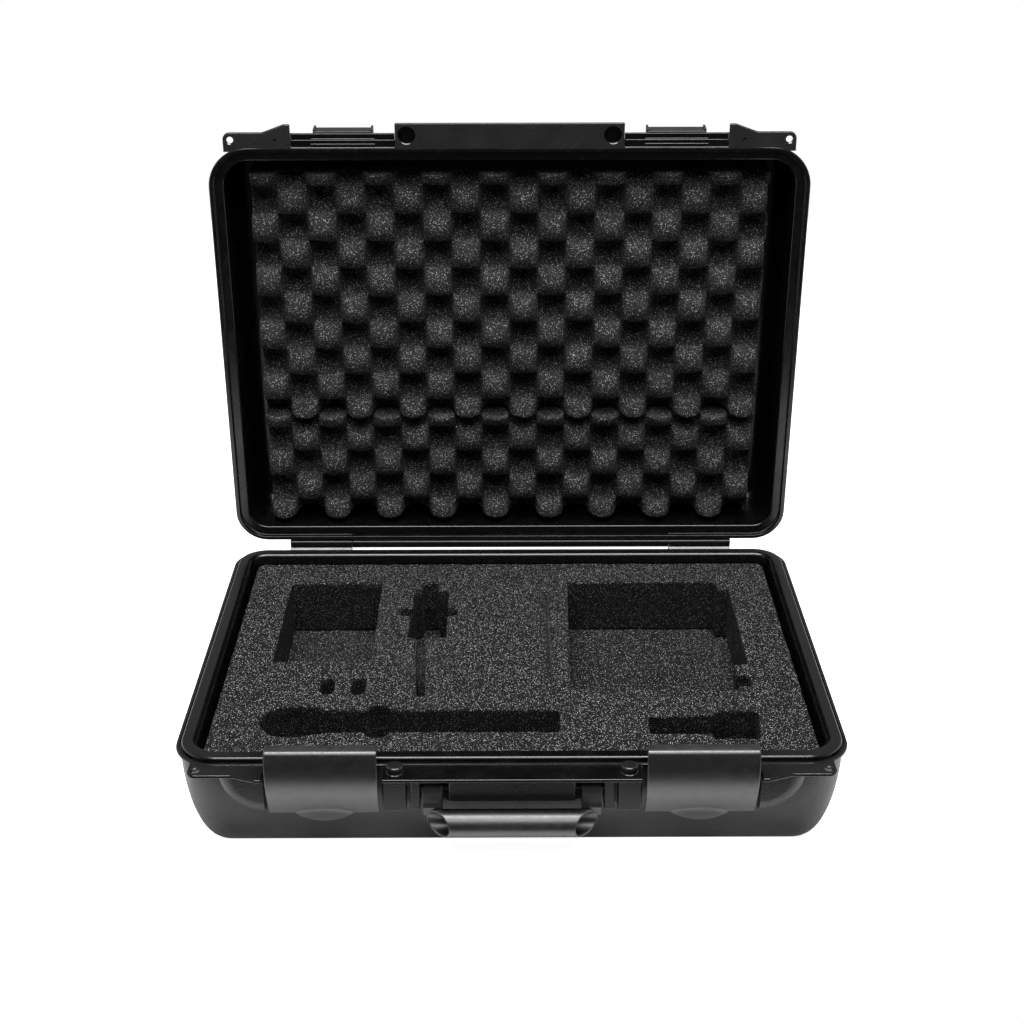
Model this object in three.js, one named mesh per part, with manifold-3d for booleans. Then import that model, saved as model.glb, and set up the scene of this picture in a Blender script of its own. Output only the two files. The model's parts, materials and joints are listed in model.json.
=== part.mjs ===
// A moulded hard carry case that stands open: a thin-walled base and lid on a rear hinge rod, two draw
// latches and a swing handle on the front, die-cut foam in the base and egg-crate foam in the lid.
// Millimetres, +Z up, +X to the right, front of the case towards -Y.
// Origin: middle of the flat underside of the base.
import * as THREE from "three";
import { mergeVertices } from "three/addons/utils/BufferGeometryUtils.js";
import Module from "manifold-3d";

const wasm = await Module();
wasm.setup();

// ---- Driving dimensions -------------------------------------------------------------------------
const RIM = { halfWidth: 250, halfDepth: 183, corner: 28 }; // outline where base and lid meet
const BASE_HEIGHT = 76; // underside to parting plane
const LID_HEIGHT = 62; // parting plane to the top of the closed lid
const PARTING_GAP = 0.4;
const WALL = 5;
const CAVITY = { halfWidth: 237, front: -170, back: 171, corner: 18 };
const BASE_EDGE = { outer: 22, inner: 17 }; // radius where the walls turn into the base's underside
const LID_EDGE = { outer: 12, inner: 6 }; // the same where they turn into the lid's top
const OPEN_ANGLE = THREE.MathUtils.degToRad(86.4);
const RUNNING_GAP = 0.3; // between a pin and its bore, and between pieces that touch

const BASE_FLANGE = 6; // thickness of the base's rim flange
const LID_FLANGE = 8;
const TONGUE = { inset: 5.5, width: 8.5, height: 3.5 }; // raised ring on the base rim
const LID_BOTTOM = BASE_HEIGHT + PARTING_GAP;

const HINGE = {
  y: RIM.halfDepth + 5.5,
  z: BASE_HEIGHT + 5.5,
  radius: 4.6,
  rod: 2, // radius of the steel rod
  half: 202.5, // half length of the barrel
  split: 145.8, // where the lid's middle knuckle ends
};

const FRONT = {
  face: -196, // front face of the latch and handle housing
  ear: -196.4, // front edge of the flange at the ears
  hump: -203, // where the flange runs out beside each latch
  centre: -202.3, // front edge of the flange between the latches
  bottom: 44.5, // lower edge of the housing
  guardOuter: 212.5, // outermost point of the rounded guard beside each latch
  guardInner: 180.3,
  centreHalf: 94.2, // half length of the run between the latches
};
const EAR = { outer: 235.5, hole: { x: 229.5, y: -189.4, radius: 3.75 } };
const LATCH = { x: 137.1, bay: 42.9, plate: 40.4, bayBack: CAVITY.front - WALL };
const LUG = { half: 24.3, front: -199.6, height: 19.1 }; // catch on the lid that a latch hooks over
const BROW = { face: -193, drop: 26, edge: -194 }; // housing on the front of the lid
const LINK_FOOT = { y: -188.5, z: 52 }; // pin that holds the link to the base
const LINK_HEAD = { y: -186.5, z: 68 }; // pin that holds the lever to the link
const PIN = { radius: 1.7, footHalf: 28, headHalf: 22 };
const BOSS = { inner: 24, outer: 28 }; // ears on the base that carry the foot pin
const LINK = { half: 18, radius: 3.8 };
const LEVER_EAR = { inner: 18.6, outer: 22.4 }; // ears on the lever that carry the head pin

const HANDLE = {
  pivot: { y: -190, z: 62 },
  grip: { y: -200, z: 37, radius: 10.4, bore: 8 },
  halfTop: 66, // half length along the top of the grip
  halfBottom: 51,
  armInner: 50.4,
  armOuter: 65.6,
  pin: { radius: 2, inner: 42, outer: 71 },
};
const HANDLE_BAY = { half: 66.6, back: -180 };
const CENTRE_PANEL = { half: 46.5, front: -193, bottom: 54.5 };
const POST_SLOT = { inner: 74.4, outer: 76.6, depth: 8 };
const STUD = { x: 84.7, y: -193.1, radius: 6.2, height: 6.5, spigot: 4.2, depth: 9 };

const FOAM = { halfWidth: 230, halfDepth: 166.5, top: BASE_HEIGHT - 6, floor: 22, corner: 8 };
const LID_FOAM = { halfWidth: 220, front: -157, seam: 65, back: 165.5, thickness: 49, corner: 4 };

const ARC = 6; // segments in a quarter-round outline
const COARSE_ARC = 4; // for outlines whose rounded edge is wider than their shortest segment
const ROUND = 16; // segments round a pin
const BORE_GAP = RUNNING_GAP + 0.05; // radial gap of a pin in its bore

// ---- Geometry helpers ---------------------------------------------------------------------------
const ALONG_X = new THREE.Matrix4().makeBasis(
  new THREE.Vector3(0, 1, 0),
  new THREE.Vector3(0, 0, 1),
  new THREE.Vector3(1, 0, 0),
);

function solid(geometry) {
  const bare = geometry.index ? geometry.toNonIndexed() : geometry.clone();
  bare.deleteAttribute("normal");
  bare.deleteAttribute("uv");
  const merged = mergeVertices(bare, 1e-4);
  return new wasm.Manifold(
    new wasm.Mesh({
      numProp: 3,
      vertProperties: merged.attributes.position.array,
      triVerts: new Uint32Array(merged.index.array),
    }),
  );
}

function join(...solids) {
  return solids.reduce((whole, piece) => whole.add(piece));
}

function cut(whole, ...tools) {
  return tools.reduce((rest, tool) => rest.subtract(tool), whole);
}

function box(x0, x1, y0, y1, z0, z1) {
  const geometry = new THREE.BoxGeometry(x1 - x0, y1 - y0, z1 - z0);
  return solid(geometry.translate((x0 + x1) / 2, (y0 + y1) / 2, (z0 + z1) / 2));
}

// The same solid on the right and, mirrored, on the left.
function bothSides(make) {
  return join(make(1), make(-1));
}

function sideBox(side, inner, outer, y0, y1, z0, z1) {
  const xs = [side * inner, side * outer].sort((a, b) => a - b);
  return box(xs[0], xs[1], y0, y1, z0, z1);
}

function roundedRect(halfWidth, front, back, corner) {
  const shape = new THREE.Shape();
  const quarter = Math.PI / 2;
  shape.absarc(halfWidth - corner, back - corner, corner, 0, quarter);
  shape.absarc(-halfWidth + corner, back - corner, corner, quarter, 2 * quarter);
  shape.absarc(-halfWidth + corner, front + corner, corner, 2 * quarter, 3 * quarter);
  shape.absarc(halfWidth - corner, front + corner, corner, 3 * quarter, 4 * quarter);
  return shape;
}

function polygon(points) {
  return new THREE.Shape(points.map(([x, y]) => new THREE.Vector2(x, y)));
}

// A shape in X and Y, from z0 to z1.
function upright(shape, z0, z1) {
  const settings = { depth: z1 - z0, bevelEnabled: false, curveSegments: ARC };
  return solid(new THREE.ExtrudeGeometry(shape, settings).translate(0, 0, z0));
}

// A shape in Y and Z, from x0 to x1.
function sideways(shape, x0, x1) {
  const settings = { depth: x1 - x0, bevelEnabled: false, curveSegments: ARC };
  const geometry = new THREE.ExtrudeGeometry(shape, settings).translate(0, 0, x0);
  return solid(geometry.applyMatrix4(ALONG_X));
}

// A shape in X and Z whose front edge, at y0, is rounded off.
function facing(shape, y0, y1, edge) {
  const settings = {
    depth: y1 - y0 - edge,
    bevelThickness: edge,
    bevelSize: edge,
    bevelOffset: -edge,
    bevelSegments: 2,
    curveSegments: COARSE_ARC,
  };
  const geometry = new THREE.ExtrudeGeometry(shape, settings);
  return solid(geometry.rotateX(Math.PI / 2).translate(0, y1, 0));
}

// A rounded rectangle that is closed at z0 by a round edge and runs straight on to z1.
function dish(halfWidth, front, back, corner, edge, z0, z1) {
  const settings = {
    depth: z1 - z0,
    bevelThickness: edge,
    bevelSize: edge,
    bevelOffset: -edge,
    bevelSegments: 4,
    curveSegments: ARC,
  };
  const shape = roundedRect(halfWidth, front, back, Math.max(corner, edge + 2));
  const whole = solid(new THREE.ExtrudeGeometry(shape, settings).translate(0, 0, z0 + edge));
  const reach = 2 * RIM.halfWidth;
  return whole.intersect(box(-reach, reach, -reach, reach, z0 - 1, z1));
}

function rod(radius, x0, x1, y, z, segments = ROUND) {
  const geometry = new THREE.CylinderGeometry(radius, radius, x1 - x0, segments);
  return solid(geometry.rotateZ(Math.PI / 2).translate((x0 + x1) / 2, y, z));
}

function post(radius, x, y, z0, z1) {
  const geometry = new THREE.CylinderGeometry(radius, radius, z1 - z0, ROUND);
  return solid(geometry.rotateX(Math.PI / 2).translate(x, y, (z0 + z1) / 2));
}

// ---- Materials ----------------------------------------------------------------------------------
function material(color, roughness, metalness = 0) {
  return new THREE.MeshStandardMaterial({ color, roughness, metalness });
}
const SHELL = material(0x1b1c1d, 0.55);
const SATIN = material(0x2c2d2f, 0.42);
const GLOSS = material(0x141414, 0.25);
const STEEL = material(0x9a9c9e, 0.35, 1);
const SOFT = material(0x2b2c2d, 0.95);
const SOFT_FLOOR = material(0x303132, 0.95);

function piece(name, shape, look) {
  const made = shape.getMesh();
  const geometry = new THREE.BufferGeometry();
  geometry.setAttribute("position", new THREE.BufferAttribute(made.vertProperties, made.numProp));
  geometry.setIndex(new THREE.BufferAttribute(made.triVerts, 1));
  geometry.computeVertexNormals();
  const mesh = new THREE.Mesh(geometry, look);
  mesh.name = name;
  return mesh;
}

// ---- Front housing and flange, alike on base and lid ----------------------------------------------
// The lower edge is straight between the latches and rises as a quarter ellipse at each end.
function housingOutline(top, bottom) {
  const shape = new THREE.Shape();
  const reach = FRONT.guardOuter - FRONT.guardInner;
  const quarter = Math.PI / 2;
  shape.absellipse(FRONT.guardInner, top, reach, top - bottom, 3 * quarter, 4 * quarter, false, 0);
  shape.absellipse(-FRONT.guardInner, top, reach, top - bottom, 2 * quarter, 3 * quarter, false, 0);
  return shape;
}

function earAndHump(side) {
  const shape = new THREE.Shape();
  const rounding = 6;
  const outer = EAR.outer;
  shape.moveTo(side * FRONT.guardInner, LATCH.bayBack + 2);
  shape.lineTo(side * FRONT.guardInner, FRONT.hump);
  shape.lineTo(side * (FRONT.guardInner + 4), FRONT.hump);
  shape.quadraticCurveTo(side * 195, FRONT.hump, side * 203, FRONT.ear);
  shape.lineTo(side * (outer - rounding), FRONT.ear);
  shape.quadraticCurveTo(side * outer, FRONT.ear, side * outer, FRONT.ear + rounding);
  shape.lineTo(side * outer, LATCH.bayBack + 2);
  return shape;
}

// Rim flange with its ears, humps and centre run, cut back to bayEdge in front of each latch.
function rimFlange(z0, z1, bayEdge) {
  const ring = upright(roundedRect(RIM.halfWidth, -RIM.halfDepth, RIM.halfDepth, RIM.corner), z0, z1);
  const ears = bothSides((side) => upright(earAndHump(side), z0, z1));
  const { centreHalf } = FRONT;
  const centre = box(-centreHalf, centreHalf, FRONT.centre, LATCH.bayBack + 2, z0, z1);
  const holes = bothSides((side) =>
    post(EAR.hole.radius, side * EAR.hole.x, EAR.hole.y, z0 - 1, z1 + 1),
  );
  const bays = bothSides((side) =>
    sideBox(side, LATCH.x - LATCH.bay, LATCH.x + LATCH.bay, FRONT.hump - 1, bayEdge, z0 - 1, z1 + 1),
  );
  return cut(join(ring, ears, centre), holes, bays);
}

// ---- Base -----------------------------------------------------------------------------------------
function tongue() {
  const { inset, width, height } = TONGUE;
  const outline = (extra, corner) =>
    roundedRect(RIM.halfWidth - extra, -RIM.halfDepth + extra, RIM.halfDepth - extra, corner);
  const top = BASE_HEIGHT + height;
  const outer = upright(outline(inset, RIM.corner - inset), BASE_HEIGHT - 1, top);
  return cut(outer, upright(outline(inset + width, RIM.corner - inset - width), 0, top + 1));
}

function baseKnuckles() {
  const { y, z, radius, half, split } = HINGE;
  const web = polygon([
    [RIM.halfDepth - 3, BASE_HEIGHT - BASE_FLANGE],
    [y + 1.5, BASE_HEIGHT - BASE_FLANGE],
    [y + radius, z],
    [y, z],
    [y - 3.3, z - 3.3],
    [RIM.halfDepth - 0.2, BASE_HEIGHT],
    [RIM.halfDepth - 3, BASE_HEIGHT],
  ]);
  return bothSides((side) => {
    const [x0, x1] = [side * (split + 0.4), side * half].sort((a, b) => a - b);
    return join(rod(radius, x0, x1, y, z), sideways(web, x0, x1));
  });
}

function latchBosses(side) {
  const ear = polygon([
    [LATCH.bayBack + 2, LINK_FOOT.z - 7],
    [LINK_FOOT.y - 2, LINK_FOOT.z - 5],
    [LINK_FOOT.y - 4, LINK_FOOT.z],
    [LINK_FOOT.y - 2, LINK_FOOT.z + 4],
    [LATCH.bayBack + 2, LINK_FOOT.z + 7],
  ]);
  const centre = side * LATCH.x;
  return join(
    sideways(ear, centre + BOSS.inner, centre + BOSS.outer),
    sideways(ear, centre - BOSS.outer, centre - BOSS.inner),
  );
}

function baseShell() {
  const tub = dish(
    CAVITY.halfWidth + WALL,
    CAVITY.front - WALL,
    CAVITY.back + WALL,
    CAVITY.corner + WALL,
    BASE_EDGE.outer,
    0,
    BASE_HEIGHT,
  );
  const housing = facing(
    housingOutline(BASE_HEIGHT - BASE_FLANGE + 1, FRONT.bottom),
    FRONT.face,
    CAVITY.front - 1,
    3,
  );
  const bay = (side) =>
    sideBox(
      side,
      LATCH.x - LATCH.bay,
      LATCH.x + LATCH.bay,
      FRONT.hump,
      LATCH.bayBack,
      FRONT.bottom - 1,
      BASE_HEIGHT,
    );
  const handleBay = box(
    -HANDLE_BAY.half,
    HANDLE_BAY.half,
    FRONT.hump,
    HANDLE_BAY.back,
    FRONT.bottom - 1,
    BASE_HEIGHT - BASE_FLANGE,
  );
  const slot = (side) =>
    sideBox(
      side,
      POST_SLOT.inner,
      POST_SLOT.outer,
      FRONT.face - 1,
      FRONT.face + POST_SLOT.depth,
      FRONT.bottom + 1.5,
      BASE_HEIGHT - BASE_FLANGE - 1,
    );
  const panel = box(
    -CENTRE_PANEL.half,
    CENTRE_PANEL.half,
    CENTRE_PANEL.front,
    HANDLE_BAY.back + 2,
    CENTRE_PANEL.bottom,
    BASE_HEIGHT - BASE_FLANGE + 1,
  );
  const body = cut(join(tub, housing), bothSides(bay), handleBay, bothSides(slot));
  const flange = rimFlange(BASE_HEIGHT - BASE_FLANGE, BASE_HEIGHT, LATCH.bayBack - 5);
  const whole = join(body, panel, flange, tongue(), baseKnuckles(), bothSides(latchBosses));
  const hollow = dish(
    CAVITY.halfWidth,
    CAVITY.front,
    CAVITY.back,
    CAVITY.corner,
    BASE_EDGE.inner,
    WALL - 1,
    BASE_HEIGHT + TONGUE.height + 1,
  );
  const hingeBore = rod(HINGE.rod + BORE_GAP, -HINGE.half - 1, HINGE.half + 1, HINGE.y, HINGE.z);
  const latchBore = (side) => {
    const centre = side * LATCH.x;
    const reach = BOSS.outer + 1;
    return rod(PIN.radius + BORE_GAP, centre - reach, centre + reach, LINK_FOOT.y, LINK_FOOT.z);
  };
  const { pin, pivot } = HANDLE;
  const handleBore = rod(pin.radius + BORE_GAP, -pin.outer - 1, pin.outer + 1, pivot.y, pivot.z);
  const seatFloor = BASE_HEIGHT - STUD.depth - 1;
  const studSeat = (side) =>
    post(STUD.spigot + BORE_GAP, side * STUD.x, STUD.y, seatFloor, BASE_HEIGHT + 1);
  return cut(whole, hollow, hingeBore, bothSides(latchBore), handleBore, bothSides(studSeat));
}

// Rounded stud on a spigot that is pressed into the flange.
function locatingStud() {
  const { radius, height, spigot, depth } = STUD;
  const foot = BASE_HEIGHT + RUNNING_GAP;
  const profile = [
    [0, BASE_HEIGHT - depth],
    [spigot, BASE_HEIGHT - depth],
    [spigot, foot],
    [radius, foot],
    [radius - 0.6, foot + height - 2],
    [radius - 2, foot + height - 0.6],
    [0, foot + height],
  ].map(([r, z]) => new THREE.Vector2(r, z));
  return solid(new THREE.LatheGeometry(profile, ROUND).rotateX(Math.PI / 2));
}

// ---- Base foam --------------------------------------------------------------------------------------
// Pocket for a handheld microphone: a round head, a waist, a ring and a straight barrel.
function microphonePocket() {
  const y = -110.5;
  const barrel = 15.8;
  const shape = new THREE.Shape();
  shape.moveTo(37, y - barrel);
  shape.lineTo(37, y + barrel);
  shape.lineTo(-93, y + barrel);
  shape.bezierCurveTo(-95, y + 27, -110, y + 27, -112, y + barrel);
  shape.lineTo(-138, y + barrel);
  shape.bezierCurveTo(-150, y + 17, -156, y + 23, -170, y + 23);
  shape.bezierCurveTo(-201, y + 23, -201, y - 23, -170, y - 23);
  shape.bezierCurveTo(-156, y - 23, -150, y - 17, -138, y - barrel);
  shape.lineTo(-112, y - barrel);
  shape.bezierCurveTo(-110, y - 27, -95, y - 27, -93, y - barrel);
  return shape;
}

function connectorPocket() {
  return polygon([
    [-87, 25],
    [-55, 25],
    [-54.5, 64],
    [-46, 66],
    [-46, 76],
    [-54.5, 78],
    [-54.5, 111],
    [-64, 111],
    [-65, 127],
    [-77, 127],
    [-78, 111],
    [-84, 111],
    [-85, 78],
    [-96, 76],
    [-96, 66],
    [-86, 64],
  ]);
}

function receiverPocket() {
  return polygon([
    [47, -63],
    [181.5, -63],
    [181.5, -58],
    [191.5, -58],
    [191.5, -41],
    [181.5, -41],
    [181.5, -23],
    [193, -23],
    [193, 112],
    [183, 112],
    [183, 127.3],
    [50.5, 127.3],
  ]);
}

function plugPocket() {
  return polygon([
    [105, -130],
    [153, -130],
    [153, -137.3],
    [188, -137.3],
    [191, -97.7],
    [156, -97.7],
    [156, -104],
    [105.5, -105.5],
  ]);
}

function adapterPocket() {
  return polygon([
    [-195, -15.8],
    [-115, -15.8],
    [-114.4, 126.6],
    [-195, 126.6],
  ]);
}

function aerialSlot() {
  return polygon([
    [-75, -73],
    [-68, -73],
    [-72.5, 26],
    [-79.5, 26],
  ]);
}

function batteryHole(x) {
  return polygon([
    [x - 5.4, -66],
    [x - 2.5, -69],
    [x + 2.5, -69],
    [x + 5.4, -66],
    [x + 5.4, -47],
    [x + 2.5, -44],
    [x - 2.5, -44],
    [x - 5.4, -47],
  ]);
}

function cutFoam() {
  const sheet = roundedRect(FOAM.halfWidth, -FOAM.halfDepth, FOAM.halfDepth, FOAM.corner);
  const pockets = [
    microphonePocket(),
    connectorPocket(),
    receiverPocket(),
    plugPocket(),
    adapterPocket(),
    aerialSlot(),
    batteryHole(-146.3),
    batteryHole(-121.6),
  ];
  const bottom = FOAM.floor + RUNNING_GAP;
  const tools = pockets.map((shape) => upright(shape, bottom - 1, FOAM.top + 1));
  return cut(upright(sheet, bottom, FOAM.top), ...tools);
}

// Plain pad below the cut sheet; its lower edge clears the round corner of the tub.
function floorPad() {
  const inset = 12;
  const sheet = roundedRect(
    FOAM.halfWidth - inset,
    -FOAM.halfDepth + inset,
    FOAM.halfDepth - inset,
    FOAM.corner + inset,
  );
  return upright(sheet, WALL - 1 + RUNNING_GAP, FOAM.floor);
}

// ---- Lid, drawn closed ------------------------------------------------------------------------------
const LID_TOP = LID_BOTTOM + LID_HEIGHT;

// A solid drawn upwards from the parting plane's level, turned over so that its round edge is on top.
function turnedOver(shape) {
  return shape.mirror([0, 0, 1]).translate([0, 0, LID_BOTTOM + LID_TOP]);
}

function lidKnuckle() {
  const { y, z, radius, split } = HINGE;
  const web = polygon([
    [RIM.halfDepth - 3, LID_BOTTOM],
    [RIM.halfDepth, LID_BOTTOM],
    [y - 3.3, z - 3.3],
    [y, z],
    [y, z + radius],
    [RIM.halfDepth - 3, LID_BOTTOM + LID_FLANGE],
  ]);
  return join(rod(radius, -split, split, y, z), sideways(web, -split, split));
}

function lidShell() {
  const top = LID_TOP;
  const tub = turnedOver(
    dish(
      CAVITY.halfWidth + WALL,
      CAVITY.front - WALL,
      CAVITY.back + WALL,
      CAVITY.corner + WALL,
      LID_EDGE.outer,
      LID_BOTTOM,
      top,
    ),
  );
  const browOutline = housingOutline(top - LID_FLANGE + 1, top - BROW.drop);
  const brow = turnedOver(facing(browOutline, BROW.face, CAVITY.front - 1, 3));
  const bay = (side) =>
    sideBox(
      side,
      LATCH.x - LATCH.bay,
      LATCH.x + LATCH.bay,
      FRONT.hump,
      LATCH.bayBack,
      LID_BOTTOM + LID_FLANGE,
      top,
    );
  const lug = (side) =>
    sideBox(
      side,
      LATCH.x - LUG.half,
      LATCH.x + LUG.half,
      LUG.front,
      LATCH.bayBack + 2,
      LID_BOTTOM,
      LID_BOTTOM + LUG.height,
    );
  const flange = rimFlange(LID_BOTTOM, LID_BOTTOM + LID_FLANGE, BROW.edge);
  const body = cut(join(tub, brow), bothSides(bay));
  const whole = join(body, flange, bothSides(lug), lidKnuckle());
  const clear = TONGUE.inset - 0.6;
  const swingRoom = 1.6; // extra room at the back, where the lid's rim rolls past the tongue
  const recess = upright(
    roundedRect(
      RIM.halfWidth - clear,
      -RIM.halfDepth + clear,
      RIM.halfDepth - clear + swingRoom,
      RIM.corner - clear,
    ),
    LID_BOTTOM - 1,
    BASE_HEIGHT + TONGUE.height + 1,
  );
  const hollow = turnedOver(
    dish(
      CAVITY.halfWidth,
      CAVITY.front,
      CAVITY.back,
      CAVITY.corner,
      LID_EDGE.inner,
      LID_BOTTOM + WALL - 1,
      top + 2,
    ),
  );
  const studHole = (side) =>
    post(STUD.radius + 0.6, side * STUD.x, STUD.y, LID_BOTTOM - 1, LID_BOTTOM + STUD.height + 1);
  const bore = rod(HINGE.rod + BORE_GAP, -HINGE.split - 1, HINGE.split + 1, HINGE.y, HINGE.z);
  return cut(whole, recess, hollow, bothSides(studHole), bore);
}

function lidFoam(front, back) {
  const roof = LID_TOP - WALL + 1 - 2 * RUNNING_GAP;
  const sheet = roundedRect(LID_FOAM.halfWidth, front, back, LID_FOAM.corner);
  return upright(sheet, roof - LID_FOAM.thickness, roof);
}

// ---- Latch, drawn shut at x = 0 ---------------------------------------------------------------------
// Curved plate with a hooked top lip, a thumb tab below and two ears that reach back to the link.
function latchLever() {
  const { plate } = LATCH;
  const thickness = 2.5;
  const section = new THREE.Shape();
  section.moveTo(-197, 96.5);
  section.lineTo(-197, 99);
  section.lineTo(-202.3, 99);
  section.quadraticCurveTo(-204.6, 99, -204.8, 96.5);
  section.bezierCurveTo(-207, 84, -206.5, 62, -197.3, 45.5);
  section.lineTo(-195.3, 46.7);
  section.bezierCurveTo(-203.6, 62, -204.2, 84, -204.8 + thickness, 96.5);
  const tab = new THREE.Shape();
  tab.moveTo(-21, 49);
  tab.quadraticCurveTo(0, 30, 21, 49);
  const lug = polygon([
    [-203.5, 75],
    [-202, 58],
    [LINK_HEAD.y - 2, LINK_HEAD.z - 4],
    [LINK_HEAD.y + 3, LINK_HEAD.z - 3.2],
    [LINK_HEAD.y + 4.2, LINK_HEAD.z],
    [LINK_HEAD.y + 3, LINK_HEAD.z + 3.2],
    [LINK_HEAD.y - 2, LINK_HEAD.z + 4],
  ]);
  const settings = { depth: 2.4, bevelEnabled: false, curveSegments: ARC };
  const tabPlate = new THREE.ExtrudeGeometry(tab, settings).rotateX(Math.PI / 2).translate(0, -195.6, 0);
  const whole = join(
    sideways(section, -plate, plate),
    solid(tabPlate),
    sideways(lug, LEVER_EAR.inner, LEVER_EAR.outer),
    sideways(lug, -LEVER_EAR.outer, -LEVER_EAR.inner),
  );
  const reach = LEVER_EAR.outer + 1;
  return cut(whole, rod(PIN.radius + BORE_GAP, -reach, reach, LINK_HEAD.y, LINK_HEAD.z));
}

function latchLink() {
  const { half, radius } = LINK;
  const strap = polygon([
    [LINK_FOOT.y - radius, LINK_FOOT.z],
    [LINK_FOOT.y + radius, LINK_FOOT.z],
    [LINK_HEAD.y + radius, LINK_HEAD.z],
    [LINK_HEAD.y - radius, LINK_HEAD.z],
  ]);
  const whole = join(
    rod(radius, -half, half, LINK_FOOT.y, LINK_FOOT.z),
    rod(radius, -half, half, LINK_HEAD.y, LINK_HEAD.z),
    sideways(strap, -half, half),
  );
  return cut(
    whole,
    rod(PIN.radius + BORE_GAP, -half - 1, half + 1, LINK_FOOT.y, LINK_FOOT.z),
    rod(PIN.radius + BORE_GAP, -half - 1, half + 1, LINK_HEAD.y, LINK_HEAD.z),
  );
}

// ---- Handle -----------------------------------------------------------------------------------------
// Tubular grip cut off obliquely at both ends, with a flat arm up to the pivot at each end.
function handle() {
  const { pivot, grip, halfTop, halfBottom, armInner, armOuter, pin } = HANDLE;
  const tube = rod(grip.radius, -halfTop, halfTop, grip.y, grip.z, 24);
  const mouth = (side) => {
    const [bore0, bore1] = [side * (halfBottom - 11), side * (halfTop + 4)].sort((a, b) => a - b);
    const bore = rod(grip.bore, bore0, bore1, grip.y, grip.z);
    const wedge = new THREE.Shape();
    wedge.moveTo(side * (halfTop + 0.1), grip.z + grip.radius + 0.1);
    wedge.lineTo(side * (halfTop + 10), grip.z + grip.radius + 0.1);
    wedge.lineTo(side * (halfTop + 10), grip.z - grip.radius - 1);
    wedge.lineTo(side * halfBottom, grip.z - grip.radius - 1);
    const settings = { depth: 3 * grip.radius, bevelEnabled: false };
    const slab = new THREE.ExtrudeGeometry(wedge, settings)
      .rotateX(Math.PI / 2)
      .translate(0, grip.y + 1.5 * grip.radius, 0);
    return join(bore, solid(slab));
  };
  const profile = polygon([
    [pivot.y - 3.5, pivot.z + 3.5],
    [pivot.y + 3.5, pivot.z + 3.5],
    [pivot.y + 4, pivot.z - 3],
    [grip.y + 8, grip.z + 6],
    [grip.y, grip.z + grip.radius - 2],
    [grip.y - 2.6, grip.z + grip.radius - 1.4],
    [pivot.y - 6, pivot.z - 12],
    [pivot.y - 4.6, pivot.z - 3],
  ]);
  const arm = (side) => {
    const [x0, x1] = [side * armInner, side * armOuter].sort((a, b) => a - b);
    return sideways(profile, x0, x1);
  };
  const whole = join(cut(tube, bothSides(mouth)), bothSides(arm));
  return cut(whole, rod(pin.radius + BORE_GAP, -armOuter - 1, armOuter + 1, pivot.y, pivot.z));
}

// ---- Assembly ---------------------------------------------------------------------------------------
const carryCase = new THREE.Group();

carryCase.add(piece("base_shell", baseShell(), SHELL));
carryCase.add(piece("base_foam_cut", cutFoam(), SOFT));
carryCase.add(piece("base_foam_floor", floorPad(), SOFT_FLOOR));
carryCase.add(
  piece("hinge_rod", rod(HINGE.rod, -HINGE.half + 1, HINGE.half - 1, HINGE.y, HINGE.z), STEEL),
);

carryCase.add(piece("handle", handle(), SATIN));

for (const [label, side] of [
  ["left", -1],
  ["right", 1],
]) {
  const stud = piece("locating_stud_" + label, locatingStud(), GLOSS);
  stud.position.set(side * STUD.x, STUD.y, 0);
  carryCase.add(stud);

  const { pin, pivot } = HANDLE;
  const [pin0, pin1] = [side * pin.inner, side * pin.outer].sort((a, b) => a - b);
  const handlePin = rod(pin.radius, pin0, pin1, pivot.y, pivot.z);
  carryCase.add(piece("handle_pin_" + label, handlePin, STEEL));

  const latch = new THREE.Group();
  latch.position.x = side * LATCH.x;
  latch.add(piece("latch_lever_" + label, latchLever(), SATIN));
  latch.add(piece("latch_link_" + label, latchLink(), SHELL));
  const footPin = rod(PIN.radius, -PIN.footHalf, PIN.footHalf, LINK_FOOT.y, LINK_FOOT.z);
  const headPin = rod(PIN.radius, -PIN.headHalf, PIN.headHalf, LINK_HEAD.y, LINK_HEAD.z);
  latch.add(piece("latch_foot_pin_" + label, footPin, STEEL));
  latch.add(piece("latch_head_pin_" + label, headPin, STEEL));
  carryCase.add(latch);
}

// The lid is drawn closed and turned back about the hinge rod.
const lid = new THREE.Group();
lid.position.set(0, HINGE.y, HINGE.z);
lid.rotation.x = -OPEN_ANGLE;
for (const part of [
  piece("lid_shell", lidShell(), SHELL),
  piece("lid_foam_upper", lidFoam(LID_FOAM.front, LID_FOAM.seam - RUNNING_GAP), SOFT),
  piece("lid_foam_lower", lidFoam(LID_FOAM.seam + RUNNING_GAP, LID_FOAM.back), SOFT),
]) {
  part.position.set(0, -HINGE.y, -HINGE.z);
  lid.add(part);
}
carryCase.add(lid);

export default carryCase;
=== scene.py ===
import json
import math

import bmesh
import bpy
from mathutils import Matrix, Vector, noise


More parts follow.
